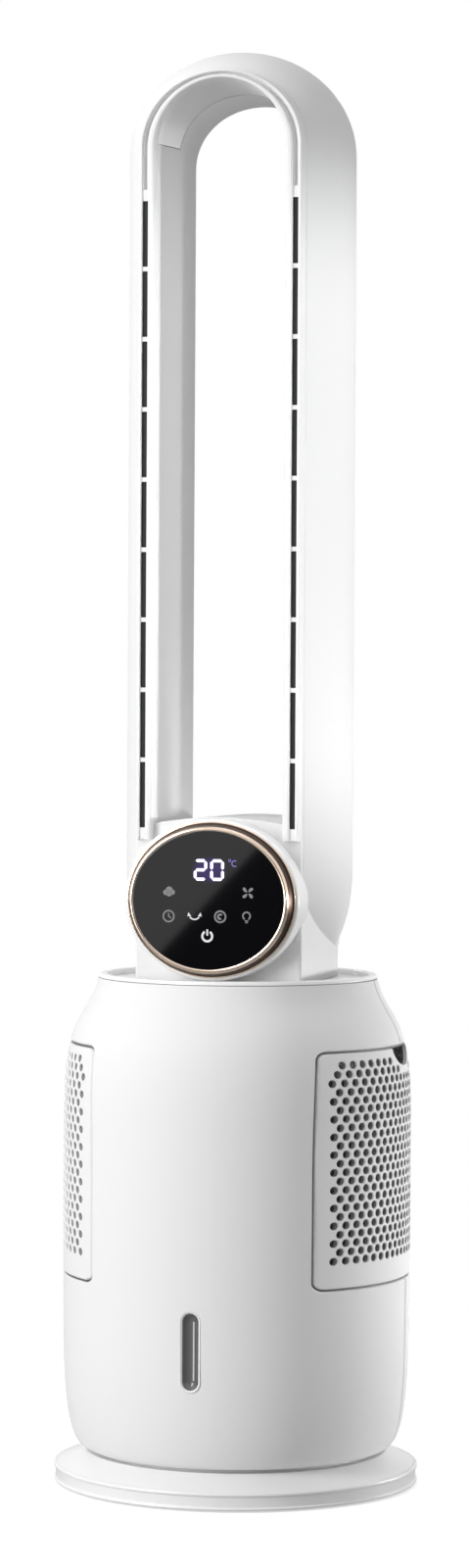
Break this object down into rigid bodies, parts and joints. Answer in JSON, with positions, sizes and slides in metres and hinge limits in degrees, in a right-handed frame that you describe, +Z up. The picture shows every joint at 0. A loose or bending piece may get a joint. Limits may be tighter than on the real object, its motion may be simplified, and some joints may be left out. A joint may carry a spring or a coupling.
{
  "type": "bladeless fan",
  "caption": "Tall bladeless tower fan: open air loop on a round body with perforated side grilles, a round touch display, a pull-out water tank and a swinging base.",
  "frame": {"origin": "on the floor under the axis the tower swings about, at the centre of the round base", "axes": "+Z up; -Y towards the front, where the display and the water window are; +X to the right of the fan seen from behind the display"},
  "size_m": [0.25, 0.25, 0.978],
  "materials": {
    "white_shell": "satin",
    "white_trim": "glossy",
    "grey_plastic": "matte",
    "dark_plastic": "matte",
    "rubber": "matte",
    "steel": "brushed",
    "gear_plastic": "matte",
    "wet_pad": "fibrous",
    "clear_plastic": "clear",
    "rose_gold": "rose gold, polished",
    "black_glass": "glossy black",
    "circuit_board": "matte"
  },
  "bodies": {
    "base": {"base_plate": "white_shell", "foot_ring": "rubber", "base_cover": "grey_plastic", "base_screw_1": "steel", "base_screw_2": "steel", "base_screw_3": "steel", "base_screw_4": "steel", "cord_gland": "rubber", "spindle": "steel", "swing_gear": "gear_plastic", "glide_ring": "gear_plastic", "retaining_nut": "steel"},
    "pinion": {"swing_pinion": "gear_plastic"},
    "rotor": {"impeller": "dark_plastic", "impeller_shaft": "steel", "impeller_nut": "steel"},
    "right_panel": {"right_grille": "white_shell"},
    "left_panel": {"left_grille": "white_shell"},
    "tank": {"water_tank": "clear_plastic", "tank_fascia": "white_shell", "water_pump": "dark_plastic"},
    "tower": {"swing_chassis": "grey_plastic", "swing_motor": "steel", "front_shell": "white_shell", "rear_shell": "white_shell", "window_bezel": "white_trim", "window_lens": "clear_plastic", "control_board": "circuit_board", "tank_tray": "grey_plastic", "riser_pipe": "grey_plastic", "right_pad": "wet_pad", "right_pad_frame": "grey_plastic", "right_drip_trough": "grey_plastic", "left_pad": "wet_pad", "left_pad_frame": "grey_plastic", "left_drip_trough": "grey_plastic", "fan_duct": "grey_plastic", "blower_motor": "steel", "lower_bearing": "steel", "upper_bearing": "steel", "diffuser": "grey_plastic", "mid_plate": "grey_plastic", "plenum": "grey_plastic", "deck_rim": "white_trim", "deck_plate": "white_shell", "loop_front_frame": "white_trim", "loop_rear_shell": "white_shell", "arch_liner": "white_trim", "display_housing": "white_shell", "bezel_ring": "rose_gold", "display_glass": "black_glass", "display_board": "circuit_board"}
  },
  "joints": [
    {"name": "swing", "type": "hinge", "parent": "base", "child": "tower", "pos_m": [0, 0, 0.03], "axis": [0, 0, 1], "range_deg": [-40, 40]},
    {"name": "pinion_spin", "type": "hinge", "parent": "tower", "child": "pinion", "pos_m": [0, 0.0555, 0.03], "axis": [0, 0, 1], "range_deg": [-172, 172]},
    {"name": "impeller_spin", "type": "hinge", "parent": "tower", "child": "rotor", "pos_m": [0, 0, 0.237], "axis": [0, 0, 1], "continuous": true},
    {"name": "right_grille_pull", "type": "slide", "parent": "tower", "child": "right_panel", "axis": [1, 0, 0], "range_m": [0, 0.06]},
    {"name": "left_grille_pull", "type": "slide", "parent": "tower", "child": "left_panel", "axis": [-1, 0, 0], "range_m": [0, 0.06]},
    {"name": "tank_pull", "type": "slide", "parent": "tower", "child": "tank", "axis": [0, 1, 0], "range_m": [0, 0.15]}
  ],
  "couplings": [
    {"joint": "pinion_spin", "follows": "swing", "ratio": 4.2857}
  ]
}
